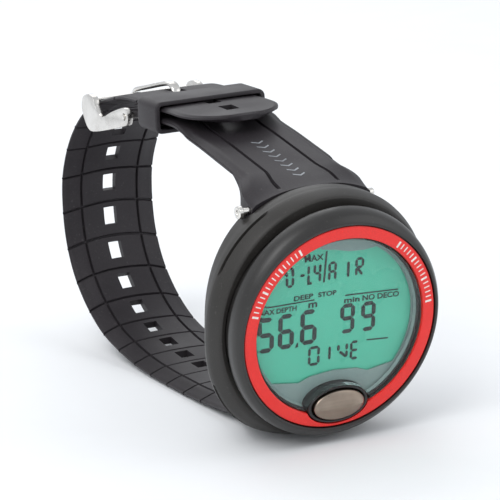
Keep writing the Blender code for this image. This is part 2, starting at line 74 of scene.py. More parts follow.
def mathNode(tree, operation, *values):
    node = tree.nodes.new("ShaderNodeMath")
    node.operation = operation
    for socket, value in zip(node.inputs, values):
        if isinstance(value, (int, float)):
            socket.default_value = value
        else:
            tree.links.new(value, socket)
    return node.outputs[0]


def rescale(tree, value, low, high, newLow, newHigh):
    node = tree.nodes.new("ShaderNodeMapRange")
    tree.links.new(value, node.inputs[0])
    for socket, number in zip(node.inputs[1:5], (low, high, newLow, newHigh)):
        if isinstance(number, (int, float)):
            socket.default_value = number
        else:
            tree.links.new(number, socket)
    return node.outputs[0]


def noiseOn(tree, vector, scale, detail=3.0):
    node = tree.nodes.new("ShaderNodeTexNoise")
    tree.links.new(vector, node.inputs["Vector"])
    node.inputs["Detail"].default_value = detail
    if isinstance(scale, (int, float)):
        node.inputs["Scale"].default_value = scale
    else:
        tree.links.new(scale, node.inputs["Scale"])
    return node.outputs[0]


def makeMouldedGroup():
    # Moulded plastic and rubber: broad mottling, fine grain, specks of dust, rubbed patches
    group, given, out = newGroup("mouldedSurface", [
        ("Main", "Color", (0.05, 0.05, 0.05, 1)), ("Worn", "Color", (0.1, 0.1, 0.1, 1)),
        ("Roughness", "Float", 0.5), ("Spread", "Float", 0.1), ("Grain", "Float", 2500.0),
        ("Wear", "Float", 0.3), ("Dust", "Float", 0.1), ("Mottle", "Float", 0.12)],
        [("Color", "Color"), ("Roughness", "Float"), ("Height", "Float")])
    links = group.links
    place = group.nodes.new("ShaderNodeTexCoord").outputs["Object"]
    broad = noiseOn(group, place, 65.0, 4.0)
    fine = noiseOn(group, place, given.outputs["Grain"], 2.0)
    specks = noiseOn(group, place, 1400.0, 1.0)
    patch = rescale(group, broad, 0.45, 0.75, 0.0, given.outputs["Wear"])
    colour = mixColors(group, patch, given.outputs["Main"], given.outputs["Worn"])
    speck = rescale(group, specks, 0.68, 0.74, 0.0, given.outputs["Dust"])
    colour = mixColors(group, speck, colour, (0.42, 0.41, 0.39, 1))
    lowShade = mathNode(group, "SUBTRACT", 1.0, given.outputs["Mottle"])
    highShade = mathNode(group, "ADD", 1.0, given.outputs["Mottle"])
    shade = rescale(group, fine, 0.3, 0.7, lowShade, highShade)
    links.new(mixColors(group, 1.0, colour, shade, "MULTIPLY"), out.inputs["Color"])
    swing = mathNode(group, "MULTIPLY", mathNode(group, "SUBTRACT", broad, 0.5), given.outputs["Spread"])
    rough = mathNode(group, "ADD", given.outputs["Roughness"], mathNode(group, "MULTIPLY", swing, 3.0))
    links.new(mathNode(group, "ADD", rough, mathNode(group, "MULTIPLY", speck, 0.3)), out.inputs["Roughness"])
    links.new(mathNode(group, "ADD", fine, mathNode(group, "MULTIPLY", broad, 0.6)), out.inputs["Height"])
    return group


def makeBrushedGroup():
    # Brushed metal: long scratches along one direction over a cloudy polish
    group, given, out = newGroup("brushedSurface", [
        ("Main", "Color", (0.6, 0.6, 0.6, 1)), ("Dull", "Color", (0.4, 0.4, 0.4, 1)),
        ("Roughness", "Float", 0.25), ("Spread", "Float", 0.1), ("Stretch", "Vector", (60, 900, 2600))],
        [("Color", "Color"), ("Roughness", "Float"), ("Height", "Float")])
    links = group.links
    place = group.nodes.new("ShaderNodeTexCoord").outputs["Object"]
    stretched = group.nodes.new("ShaderNodeVectorMath")
    stretched.operation = "MULTIPLY"
    links.new(place, stretched.inputs[0])
    links.new(given.outputs["Stretch"], stretched.inputs[1])
    lines = noiseOn(group, stretched.outputs[0], 1.0, 4.0)
    cloud = noiseOn(group, place, 180.0, 3.0)
    share = rescale(group, cloud, 0.42, 0.72, 0.0, 0.8)
    colour = mixColors(group, share, given.outputs["Main"], given.outputs["Dull"])
    shade = rescale(group, lines, 0.25, 0.75, 0.9, 1.08)
    links.new(mixColors(group, 1.0, colour, shade, "MULTIPLY"), out.inputs["Color"])
    swing = mathNode(group, "MULTIPLY", mathNode(group, "SUBTRACT", lines, 0.5), given.outputs["Spread"])
    smear = mathNode(group, "MULTIPLY", share, 0.12)
    rough = mathNode(group, "ADD", given.outputs["Roughness"], mathNode(group, "MULTIPLY", swing, 2.0))
    links.new(mathNode(group, "ADD", rough, smear), out.inputs["Roughness"])
    links.new(lines, out.inputs["Height"])
    return group


mouldedGroup = makeMouldedGroup()
brushedGroup = makeBrushedGroup()


def rgba(colour):
    return (*colour, 1.0)


def makeMaterial(name, group, groupValues, bump, shaderValues):
    material = bpy.data.materials.new(name)
    material.use_nodes = True
    tree = material.node_tree
    shader = tree.nodes["Principled BSDF"]
    surface = tree.nodes.new("ShaderNodeGroup")
    surface.node_tree = group
    for key, value in groupValues.items():
        surface.inputs[key].default_value = value
    tree.links.new(surface.outputs["Color"], shader.inputs["Base Color"])
    tree.links.new(surface.outputs["Roughness"], shader.inputs["Roughness"])
    bumpNode = tree.nodes.new("ShaderNodeBump")
    bumpNode.inputs["Strength"].default_value = bump[0]
    bumpNode.inputs["Distance"].default_value = bump[1] * mm
    tree.links.new(surface.outputs["Height"], bumpNode.inputs["Height"])
    tree.links.new(bumpNode.outputs["Normal"], shader.inputs["Normal"])
    for key, value in shaderValues.items():
        shader.inputs[key].default_value = value
    return material


def moulded(name, main, worn, roughness, spread=0.12, grain=2500.0, wear=0.5, dust=0.1, mottle=0.12,
            bump=(0.25, 0.03), **shaderValues):
    values = {"Main": rgba(main), "Worn": rgba(worn), "Roughness": roughness, "Spread": spread,
              "Grain": grain, "Wear": wear, "Dust": dust, "Mottle": mottle}
    return makeMaterial(name, mouldedGroup, values, bump, shaderValues)


def brushed(name, main, dull, roughness, spread=0.12, stretch=(60, 900, 2600), bump=(0.12, 0.01)):
    values = {"Main": rgba(main), "Dull": rgba(dull), "Roughness": roughness, "Spread": spread,
              "Stretch": stretch}
    return makeMaterial(name, brushedGroup, values, bump, {"Metallic": 1.0})


looks = {
    "caseRubber": moulded("caseRubber", (0.022, 0.020, 0.018), (0.038, 0.035, 0.031), 0.46,
                          grain=3200.0, dust=0.04, bump=(0.35, 0.03), **{"Specular IOR Level": 0.4}),
    "bezelSatin": moulded("bezelSatin", (0.018, 0.017, 0.016), (0.032, 0.030, 0.028), 0.33,
                          grain=3600.0, wear=0.4, dust=0.03, bump=(0.14, 0.02)),
    "strapRubber": moulded("strapRubber", (0.023, 0.0195, 0.0225), (0.041, 0.036, 0.040), 0.52,
                           grain=2400.0, dust=0.05, bump=(0.4, 0.035), **{"Specular IOR Level": 0.35}),
    "ringRed": moulded("ringRed", (0.78, 0.014, 0.010), (0.84, 0.030, 0.022), 0.34, grain=4200.0,
                       wear=0.5, dust=0.02, bump=(0.08, 0.015), **{"Coat Weight": 0.1}),
    "ringMarks": moulded("ringMarks", (0.80, 0.76, 0.72), (0.70, 0.62, 0.58), 0.45, dust=0.02,
                         bump=(0.1, 0.01)),
    "strapPrint": moulded("strapPrint", (0.30, 0.32, 0.34), (0.16, 0.17, 0.18), 0.55, grain=2600.0,
                          wear=0.9, dust=0.02, bump=(0.15, 0.01)),
    "innerGrey": moulded("innerGrey", (0.21, 0.29, 0.28), (0.27, 0.34, 0.33), 0.40, grain=3000.0,
                         dust=0.02, bump=(0.1, 0.01)),
    "displayTeal": moulded("displayTeal", (0.075, 0.50, 0.345), (0.09, 0.54, 0.375), 0.30,
                           grain=5200.0, wear=0.8, dust=0.0, bump=(0.03, 0.005)),
    "displayInk": moulded("displayInk", (0.003, 0.012, 0.012), (0.005, 0.016, 0.016), 0.50,
                          grain=5200.0, dust=0.0, bump=(0.03, 0.005)),
    "buttonBronze": brushed("buttonBronze", (0.33, 0.27, 0.22), (0.24, 0.19, 0.15), 0.30,
                            stretch=(90, 1500, 1500)),
    "housingBlack": moulded("housingBlack", (0.012, 0.012, 0.012), (0.022, 0.021, 0.020), 0.30,
                            grain=3600.0, dust=0.02, bump=(0.1, 0.02)),
    "steelSatin": brushed("steelSatin", (0.72, 0.70, 0.67), (0.58, 0.56, 0.53), 0.20),
    "steelPin": brushed("steelPin", (0.78, 0.76, 0.72), (0.60, 0.58, 0.55), 0.16,
                        stretch=(200, 1400, 1400)),
    "sealRubber": moulded("sealRubber", (0.012, 0.012, 0.012), (0.022, 0.022, 0.022), 0.60),
    "whitePlastic": moulded("whitePlastic", (0.75, 0.77, 0.73), (0.66, 0.68, 0.64), 0.45),
    "boardGreen": moulded("boardGreen", (0.015, 0.13, 0.055), (0.03, 0.19, 0.09), 0.35, grain=1800.0),
    "contactBrass": brushed("contactBrass", (0.70, 0.52, 0.22), (0.55, 0.40, 0.17), 0.26),
}


def makeLensGlass():
    # Clear lens: its polish varies a little, and faint wiping marks catch the light
    material = bpy.data.materials.new("lensGlass")
    material.use_nodes = True
    tree = material.node_tree
    shader = tree.nodes["Principled BSDF"]
    place = tree.nodes.new("ShaderNodeTexCoord").outputs["Object"]
    smear = noiseOn(tree, place, 90.0, 3.0)
    tree.links.new(rescale(tree, smear, 0.3, 0.8, 0.0, 0.035), shader.inputs["Roughness"])
    tint = mixColors(tree, smear, (0.97, 1.0, 0.99, 1), (0.93, 0.98, 0.97, 1))
    tree.links.new(tint, shader.inputs["Base Color"])
    shader.inputs["Transmission Weight"].default_value = 1.0
    shader.inputs["IOR"].default_value = 1.06
    shader.inputs["Coat Weight"].default_value = 0.45
    return material


looks["lensGlass"] = makeLensGlass()
print("finishes made:", len(looks))

# ---- mesh helpers, all in the dial's frame and millimetres


def oval(halfX, halfZ, y, centreZ=0.0, power=2.0, upperPower=None, count=160):
    ring = []
    for step in range(count):
        angle = 2 * math.pi * step / count
        across = math.cos(angle)
        along = math.sin(angle)
        p = power if upperPower is None or along < 0 else upperPower
        reach = (abs(across / halfX) ** p + abs(along / halfZ) ** p) ** (-1 / p)
        ring.append((reach * across, y, centreZ + reach * along))
    return ring


def curveThrough(rows, parts):
    # Smooth rows of numbers. A row given twice makes a sharp corner
    padded = [rows[0], *rows, rows[-1]]
    fine = []
    for before, start, end, after in zip(padded, padded[1:], padded[2:], padded[3:]):
        if start == end:
            continue
        for part in range(parts):
            t = part / parts
            fine.append(tuple(
                0.5 * (2 * s + (e - b) * t + (2 * b - 5 * s + 4 * e - a) * t * t
                       + (3 * s - b - 3 * e + a) * t ** 3)
                for b, s, e, a in zip(before, start, end, after)))
    fine.append(tuple(rows[-1]))
    return fine


def loft(rings, joined=False):
    count = len(rings[0])
    points = [point for ring in rings for point in ring]
    faces = []
    last = len(rings) if joined else len(rings) - 1
    for row in range(last):
        low = row * count
        high = (row + 1) % len(rings) * count
        for side in range(count):
            after = (side + 1) % count
            faces.append((low + side, low + after, high + after, high + side))
    if not joined:
        faces.append(tuple(range(count)))
        faces.append(tuple(range((len(rings) - 1) * count, len(rings) * count)))
    return points, faces


def circle(centre, radius, count=24, first=0.0, sweep=360.0):
    last = count if sweep == 360.0 else count - 1
    found = []
    for step in range(count):
        angle = math.radians(first + sweep * step / last)
        found.append((centre[0] + radius * math.cos(angle), centre[1] + radius * math.sin(angle)))
    return found


def depthPlate(outline, lowY, highY):
    return loft([[(x, y, z) for x, z in outline] for y in (lowY, highY)])


def sidePlate(outline, lowX, highX):
    return loft([[(x, y, z) for y, z in outline] for x in (lowX, highX)])


def meshOf(name, shape):
    points, faces = shape
    bm = bmesh.new()
    made = [bm.verts.new(dialToRow @ Vector(point)) for point in points]
    for face in faces:
        bm.faces.new([made[corner] for corner in face])
    bmesh.ops.recalc_face_normals(bm, faces=bm.faces)
    mesh = bpy.data.meshes.new(name)
    bm.to_mesh(mesh)
    bm.free()
    return mesh


def joinShapes(shapes):
    points = []
    faces = []
    for more, theirs in shapes:
        start = len(points)
        points += more
        faces += [tuple(start + corner for corner in face) for face in theirs]
    return points, faces


def addPiece(name, shape, look, body, stands=(), cuts=(), joins=(), sharp=35.0, bevel=0.0):
    mesh = meshOf(name, shape)
    piece = bpy.data.objects.new(name, mesh)
    scene.collection.objects.link(piece)
    helpers = []
    for operation, others in (("UNION", joins), ("DIFFERENCE", cuts)):
        for other in others:
            helper = bpy.data.objects.new(name + "Helper", meshOf(name + "Helper", other))
            scene.collection.objects.link(helper)
            modifier = piece.modifiers.new(operation, "BOOLEAN")
            modifier.operation = operation
            modifier.solver = "EXACT"
            modifier.object = helper
            helpers.append(helper)
    if bevel:
        modifier = piece.modifiers.new("edges", "BEVEL")
        modifier.width = bevel * mm
        modifier.segments = 3
        modifier.limit_method = "ANGLE"
        modifier.angle_limit = math.radians(38.0)
    if piece.modifiers:
        bpy.context.view_layer.update()
        graph = bpy.context.evaluated_depsgraph_get()
        piece.data = bpy.data.meshes.new_from_object(piece.evaluated_get(graph))
        piece.modifiers.clear()
    for helper in helpers:
        bpy.data.objects.remove(helper)
    piece.data.materials.clear()
    piece.data.materials.append(looks[look])
    piece.data.shade_smooth()
    piece.data.set_sharp_from_angle(angle=math.radians(sharp))
    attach(piece, body)
    if stands:
        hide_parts(*stands)
    return piece


def flatShape(outlines, y, thick=0.04):
    return joinShapes([depthPlate(outline, y - thick, y) for outline in outlines])


# ---- case shell, bezel, ring and lens

shellSettings = {
    # half X, half Z, Y, centre Z, squareness below and above the middle
    "outside": [
        (28.0, 30.2, 7.2, 0.0, 2.0, 2.0), (28.4, 30.6, 7.25, 0.0, 2.02, 2.0),
        (28.9, 31.0, 7.7, -0.1, 2.08, 2.02),
        (29.5, 31.4, 9.0, -0.2, 2.2, 2.05), (30.0, 31.8, 10.4, -0.4, 2.3, 2.08),
        (30.2, 32.0, 11.6, -0.5, 2.35, 2.1), (30.1, 32.0, 12.6, -0.55, 2.35, 2.1),
        (29.6, 32.0, 14.0, -0.6, 2.35, 2.12), (28.4, 31.7, 16.2, -0.6, 2.3, 2.15),
        (27.0, 31.1, 19.0, -0.5, 2.25, 2.2), (26.3, 30.3, 20.7, -0.4, 2.2, 2.2),
        (25.9, 29.6, 21.3, -0.3, 2.15, 2.15)],
    "slitY": 11.4, "slitHalf": 0.5, "slitDepth": 1.1, "slitRamp": 3.0, "slitSweep": 35,
    "slitStarts": (118, 27, 208, 297), "canRadius": 23.6,
}
notchHalf = 16.6
pinPlace = {"y": 18.2, "z": 26.0, "radius": 1.0}


def slitDepthAt(angle):
    for first in shellSettings["slitStarts"]:
        inside = (angle - first) % 360
        if inside < shellSettings["slitSweep"]:
            end = min(inside, shellSettings["slitSweep"] - inside)
            return shellSettings["slitDepth"] * min(1.0, end / shellSettings["slitRamp"])
    return 0.0


def shellRings():
    rows = curveThrough(shellSettings["outside"], 4)
    middle = shellSettings["slitY"]
    half = shellSettings["slitHalf"]
    kept = [row for row in rows if abs(row[2] - middle) > half + 0.2]
    fine = curveThrough(shellSettings["outside"], 60)
    for offset in (-half - 0.15, -half, -half + 0.12, half - 0.12, half, half + 0.15):
        kept.append(min(fine, key=lambda row: abs(row[2] - middle - offset)))
    kept.sort(key=lambda row: row[2])
    rings = []
    for row in kept:
        ring = oval(*row)
        if abs(row[2] - middle) < half - 0.05:
            dug = []
            for x, y, z in ring:
                reach = math.hypot(x, z)
                depth = slitDepthAt(math.degrees(math.atan2(z, x)) % 360)
                dug.append((x * (1 - depth / reach), y, z * (1 - depth / reach)))
            ring = dug
        rings.append(ring)
    return rings


def notchCut(side):
    canRadius = shellSettings["canRadius"]
    corner = math.degrees(math.acos(notchHalf / canRadius))
    arc = circle((0, 0), canRadius, 40, corner, 180 - 2 * corner)
    outline = [(x, side * z) for x, z in [*arc, (-notchHalf, 40.0), (notchHalf, 40.0)]]
    return depthPlate(outline, 15.9, 30.0)


def pinBore(side, radius, half=25.0):
    return sidePlate(circle((pinPlace["y"], side * pinPlace["z"]), radius), -half, half)


shellInside = [
    oval(24.9, 22.4, 21.3), oval(24.9, 22.4, 19.3), oval(20.2, 20.2, 19.3), oval(20.2, 20.2, 9.4),
    oval(27.5, 27.5, 9.4), oval(27.5, 27.5, 7.2)]
screwBores = [loft([[(0.95 * math.cos(a) + x, y, 0.95 * math.sin(a) + z) for a in (
    2 * math.pi * k / 16 for k in range(16))] for y in (17.2, 19.8)])
    for x in (21.4, -21.4) for z in (5.5, -5.5)]
addPiece("caseShell", loft(shellRings() + shellInside, joined=True), "caseRubber", "case",
         ["case_shell"],
         cuts=[notchCut(1), notchCut(-1), pinBore(1, 1.85), pinBore(-1, 1.85), *screwBores])
print("case shell made")

buttonCentre = -20.2
housingCut = loft([oval(8.6, 5.1, y, buttonCentre, count=96) for y in (-3.0, 7.65)])

bezelOutside = [
    (26.25, 26.25, 1.0), (26.25, 26.25, 1.0), (26.25, 26.25, -0.35), (26.35, 26.35, -0.55),
    (26.6, 26.65, -0.62), (26.95, 27.1, -0.5), (27.4, 27.8, 0.0), (27.85, 28.65, 0.8),
    (28.15, 29.3, 2.0), (28.2, 29.6, 3.3), (28.15, 29.6, 4.2), (27.95, 29.45, 4.75),
    (27.6, 29.1, 4.9), (27.6, 29.1, 4.9), (27.2, 27.2, 4.95), (27.2, 27.2, 4.95)]
bezelRings = [oval(*row) for row in curveThrough(bezelOutside, 4)]
bezelInside = [oval(27.2, 27.2, 9.1), oval(24.7, 24.7, 9.1), oval(24.7, 24.7, 2.5),
               oval(22.75, 22.75, 2.5), oval(22.75, 22.75, 1.0)]
addPiece("bezelRing", loft(bezelRings + bezelInside, joined=True), "bezelSatin", "case",
         ["bezel_ring"], cuts=[housingCut])

ringProfile = [
    (22.85, 0.7), (22.85, -0.1), (22.9, -0.25), (23.05, -0.34), (23.3, -0.37), (25.5, -0.37),
    (25.75, -0.34), (25.9, -0.25), (25.95, -0.1), (25.95, 0.7)]
addPiece("dialRing", loft([oval(r, r, y) for r, y in ringProfile], joined=True), "ringRed", "case",
         ["dial_ring"], cuts=[housingCut])


def arcMark(first, last, low, high, y=-0.40):
    steps = max(2, round((last - first) / 0.8))
    angles = [math.radians(first + (last - first) * k / steps) for k in range(steps + 1)]
    outer = [(high * math.cos(a), high * math.sin(a)) for a in angles]
    inner = [(low * math.cos(a), low * math.sin(a)) for a in reversed(angles)]
    return depthPlate(outer + inner, y, y + 0.06)


# Plain tick marks in two arcs of the ring
ringMarks = {"arcs": ((119, 164), (7, 54)), "pitch": 3.0, "low": 23.75, "high": 25.0}
marks = []
for first, last in ringMarks["arcs"]:
    count = int((last - first) / ringMarks["pitch"])
    for number in range(count + 1):
        angle = first + ringMarks["pitch"] * number
        wide = 0.62 if number % 5 == 0 else 0.34
        low = ringMarks["low"] - (0.25 if number % 5 == 0 else 0.0)
        marks.append(arcMark(angle - wide, angle + wide, low, ringMarks["high"] + 0.2))
addPiece("ringTicks", joinShapes(marks), "ringMarks", "case")

lensProfile = curveThrough([
    (22.45, 1.1), (22.45, 1.1), (22.45, -0.2), (22.45, -0.2), (22.2, -0.5), (21.5, -0.74),
    (19.0, -0.86), (12.0, -1.02), (6.0, -1.08), (0.6, -1.1)], 4)
lens = addPiece("lensCover", loft([oval(r, r, y) for r, y in lensProfile]), "lensGlass", "case",
                ["lens"], cuts=[housingCut], sharp=25.0)
lens.visible_shadow = False
print("bezel, ring and lens made")

# ---- display

displaySettings = {"y": 3.28, "shiftX": 0.3, "shiftZ": -0.3}
strokes = {
    # ends of each bar in a glyph one unit wide and one unit high
    "O": "abcdef", "1": "bc", "4": "bcfg", "5": "acdfg", "6": "acdefg", "9": "abcdfg",
    "A": "abcefg", "E": "adefg", "D": "abcdef", "P": "abefg", "-": "g",
    "I": "m", "R": "abefgk", "V": "fkbc",
}
bars = {
    "a": ((0, 1), (1, 1)), "b": ((1, 1), (1, 0.5)), "c": ((1, 0.5), (1, 0)), "d": ((0, 0), (1, 0)),
    "e": ((0, 0.5), (0, 0)), "f": ((0, 1), (0, 0.5)), "g": ((0, 0.5), (1, 0.5)),
    "k": ((0.1, 0.5), (1, 0)), "m": ((0.5, 1), (0.5, 0)),
}


def barOutline(start, end, thick, gap):
    run = math.dist(start, end)
    ux = (end[0] - start[0]) / run
    uz = (end[1] - start[1]) / run
    h = thick / 2
    found = []
    for along, across in ((gap, 0), (gap + h, h), (run - gap - h, h), (run - gap, 0),
                          (run - gap - h, -h), (gap + h, -h)):
        found.append((start[0] + ux * along - uz * across, start[1] + uz * along + ux * across))
    return found


def segmentText(text, left, low, wide, high, pitch, thick, slope=0.0):
    outlines = []
    for number, letter in enumerate(text):
        if letter == " ":
            continue
        x0 = left + number * pitch + displaySettings["shiftX"]
        z0 = low + displaySettings["shiftZ"] + slope * number * pitch
        if letter == ",":
            outlines.append([(x0, z0), (x0 + thick, z0 + 0.1), (x0 + thick * 0.9, z0 + 1.3),
                             (x0 + 0.5, z0 + 1.2)])
            continue
        for bar in strokes[letter]:
            ends = [(x0 + thick / 2 + u * (wide - thick), z0 + thick / 2 + v * (high - thick))
                    for u, v in bars[bar]]
            outlines.append(barOutline(*ends, thick, 0.08))
    return outlines


def plainBar(x0, z0, x1, z1, thick):
    sx = displaySettings["shiftX"]
    sz = displaySettings["shiftZ"]
    run = math.dist((x0, z0), (x1, z1))
    px = -(z1 - z0) / run * thick / 2
    pz = (x1 - x0) / run * thick / 2
    return [(x0 + px + sx, z0 + pz + sz), (x1 + px + sx, z1 + pz + sz),
            (x1 - px + sx, z1 - pz + sz), (x0 - px + sx, z0 - pz + sz)]


def labelShape(text, left, low, width, height, y, slope=0.0):
    # Small printed words, from the built-in font, stretched to their place
    curve = bpy.data.curves.new("label", "FONT")
    curve.body = text
    curve.extrude = 0.02
    curve.offset = 0.022
    holder = bpy.data.objects.new("label", curve)
    scene.collection.objects.link(holder)
    bpy.context.view_layer.update()
    mesh = bpy.data.meshes.new_from_object(holder.evaluated_get(bpy.context.evaluated_depsgraph_get()))
    xs = [v.co.x for v in mesh.vertices]
    zs = [v.co.y for v in mesh.vertices]
    points = []
    for v in mesh.vertices:
        u = (v.co.x - min(xs)) / (max(xs) - min(xs))
        w = (v.co.y - min(zs)) / (max(zs) - min(zs))
        x = left + u * width + displaySettings["shiftX"]
        z = low + w * height + slope * u * width + displaySettings["shiftZ"]
        points.append((x, y + v.co.z, z))
    faces = [tuple(face.vertices) for face in mesh.polygons]
    bpy.data.objects.remove(holder)
    return points, faces


inkY = displaySettings["y"] - 0.02
outlines = []
outlines += segmentText("PO-", -17.2, 11.5, 2.2, 5.2, 3.3, 0.66)
outlines += segmentText("14", -9.6, 11.4, 2.1, 5.3, 3.1, 0.66)
outlines += segmentText("A", -2.5, 11.3, 2.3, 5.1, 3.0, 0.66)
outlines += segmentText("I", 1.7, 11.2, 2.6, 5.0, 3.0, 0.7)
outlines += segmentText("R", 4.9, 11.3, 2.4, 5.0, 3.0, 0.66)
outlines += segmentText("5", -21.0, -4.4, 4.3, 9.1, 5.4, 1.15)
outlines += segmentText("6", -15.6, -4.3, 4.3, 9.1, 5.4, 1.15)
outlines += segmentText(",", -10.9, -4.5, 1.0, 1.0, 1.0, 0.9)
outlines += segmentText("6", -9.6, -4.2, 4.5, 9.1, 5.4, 1.15)
outlines += segmentText("9", 1.3, -3.1, 4.0, 7.8, 5.6, 1.05)
outlines += segmentText("9", 7.1, -3.5, 4.0, 7.8, 5.6, 1.05)
outlines += segmentText("D", -7.2, -10.1, 3.2, 5.1, 3.4, 0.7)
outlines += segmentText("I", -2.5, -9.7, 2.4, 4.3, 3.0, 0.66)
outlines += segmentText("V", 0.8, -9.8, 3.0, 4.4, 3.4, 0.7)
outlines += segmentText("E", 4.4, -10.5, 2.5, 5.0, 3.4, 0.66)
outlines.append(plainBar(-8.1, 11.75, -6.9, 11.75, 0.66))
outlines.append(plainBar(-3.1, 19.3, -3.6, 11.4, 0.5))
outlines.append(plainBar(-20.2, 7.3, -6.0, 7.25, 0.32))
outlines.append(plainBar(2.4, 7.0, 17.2, 6.15, 0.32))
outlines.append(plainBar(9.0, -5.9, 15.0, -6.4, 0.34))
labels = [
    labelShape("MAX", -8.9, 17.3, 5.0, 1.5, inkY),
    labelShape("DEEP", -11.6, 7.8, 5.2, 1.25, inkY),
    labelShape("STOP", -5.0, 7.7, 5.0, 1.25, inkY, -0.02),
    labelShape("MAX DEPTH", -20.6, 5.35, 9.8, 1.3, inkY),
    labelShape("m", -7.6, 5.3, 2.4, 1.3, inkY),
    labelShape("min", 2.2, 5.0, 4.3, 1.3, inkY, -0.05),
    labelShape("NO DECO", 7.3, 4.75, 10.2, 1.45, inkY, -0.05)]
addPiece("displayDigits", joinShapes([flatShape(outlines, inkY + 0.02), *labels]), "displayInk", "case")


def clippedDisc(radius, lowZ, highZ, count=160):
    kept = []
    for x, z in circle((0, 0), radius, count):
        point = (x, min(max(z, lowZ), highZ))
        flat = kept and kept[-1][1] == point[1] and point[1] in (lowZ, highZ)
        if flat and len(kept) > 1 and kept[-2][1] == point[1]:
            kept[-1] = point
        else:
            kept.append(point)
    return kept


addPiece("displayPanel", depthPlate(clippedDisc(21.9, -14.6, 30.0), 3.35, 4.95), "displayTeal", "case",
         ["display_panel"])
print("display made")

# ---- button and its housing

housingRows = [
    (8.3, 4.8, 0.0), (8.3, 4.8, 6.4), (1.7, 1.7, 6.4), (1.7, 1.7, 4.4), (7.3, 4.1, 4.4), (7.3, 4.1, 0.0),
    (7.32, 4.12, -0.3), (7.42, 4.2, -0.48), (7.6, 4.35, -0.58), (7.95, 4.55, -0.58), (8.15, 4.7, -0.48),
    (8.28, 4.78, -0.3)]
housingRings = [oval(a, b, y, buttonCentre, count=96) for a, b, y in housingRows]
addPiece("buttonHousing", loft(housingRings, joined=True), "housingBlack", "case", ["button_housing"])
capRows = [
    (6.8, 3.65, 1.0), (6.95, 3.8, 0.85), (6.95, 3.8, -0.85), (6.93, 3.78, -1.0), (6.86, 3.68, -1.15),
    (6.7, 3.45, -1.32), (6.45, 2.6, -1.62), (6.15, 1.7, -1.92), (5.85, 0.8, -2.2), (5.7, 0.35, -2.3)]
addPiece("buttonCap", loft([oval(a, b, y, buttonCentre, count=96) for a, b, y in capRows]), "buttonBronze",
         "mode_button", ["button_cap"], sharp=20.0)
print("button made")

# ---- lug pins


def pinShape(side):
    # A dished head on the left, a plain rounded end on the right
    rows = [(-19.0, 0.55), (-19.3, 0.7), (-19.45, 1.2), (-19.38, 1.45), (-19.2, 1.6), (-18.3, 1.6),
            (-18.2, 1.5), (-18.2, 1.0), (17.7, 1.0), (17.9, 0.93), (18.05, 0.75)]
    rings = []
    for x, radius in rows:
        ring = circle((pinPlace["y"], side * pinPlace["z"]), radius, 32)
        rings.append([(x, y, z) for y, z in ring])
    return loft(rings)


addPiece("upperLugPin", pinShape(1), "steelPin", "case", ["upper_lug_pin"])
addPiece("lowerLugPin", pinShape(-1), "steelPin", "case", ["lower_lug_pin"])

# ---- straps

keeperLine = {"y": 78.0, "z": 31.4, "drop": 0.15}
keeperSettings = {"from": 71.9, "outer": (15.9, 4.2), "inner": (14.6, 3.1), "innerRadius": 0.75}


def lineHeight(y, above=0.0):
    drop = keeperLine["drop"]
    return keeperLine["z"] - drop * (y - keeperLine["y"]) + above * math.hypot(1, drop)


upperRoute = [
    (16.2, 30.5), (21.0, 30.7), (28.0, 30.9), (40.0, 31.4), (50.0, 31.8), (58.0, 31.9),
    (65.0, lineHeight(65.0, -1.3)), (71.5, lineHeight(71.5, -1.3)),
    (80.0, lineHeight(80.0, -1.3)), (86.0, lineHeight(86.0, -1.3)), (92.3, 26.5)]
lowerRoute = [
    (16.2, -31.6), (24.0, -32.2), (31.0, -33.4), (38.4, -35.0), (47.2, -37.1), (56.0, -38.9),
    (64.0, -40.3), (75.0, -42.1), (86.3, -43.4), (97.5, -43.7), (109.3, -42.8), (119.8, -39.3),
    (128.7, -33.4), (134.6, -25.4), (137.4, -15.9), (137.5, -5.8), (133.6, 4.3), (127.6, 12.6),
    (120.4, 19.2), (112.4, 23.7), (105.0, 26.9), (98.5, 29.4), (92.5, lineHeight(92.5, 1.6)),
    (85.5, lineHeight(85.5, 1.72)), (78.0, lineHeight(78.0, 1.72)),
    (71.5, lineHeight(71.5, 1.72)), (65.0, lineHeight(65.0, 1.85)), (58.0, 36.1), (51.5, 37.3)]


def measured(route):
    fine = curveThrough(route, 24)
    lengths = [0.0]
    for start, end in zip(fine, fine[1:]):
        lengths.append(lengths[-1] + math.dist(start, end))
    return fine, lengths


def placeOn(path, run, outward):
    fine, lengths = path
    run = min(max(run, 0.0), lengths[-1])
    low = 0
    high = len(lengths) - 1
    while high - low > 1:
        middle = (low + high) // 2
        if lengths[middle] <= run:
            low = middle
        else:
            high = middle
    share = (run - lengths[low]) / (lengths[high] - lengths[low])
    point = [s + (e - s) * share for s, e in zip(fine[low], fine[high])]
    before = fine[max(low - 6, 0)]
    after = fine[min(high + 6, len(fine) - 1)]
    span = math.dist(before, after)
    along = ((after[0] - before[0]) / span, (after[1] - before[1]) / span)
    return point, (-outward * along[1], outward * along[0])


def ease(low, high, share):
    share = min(max(share, 0.0), 1.0)
    return low + (high - low) * share * share * (3 - 2 * share)


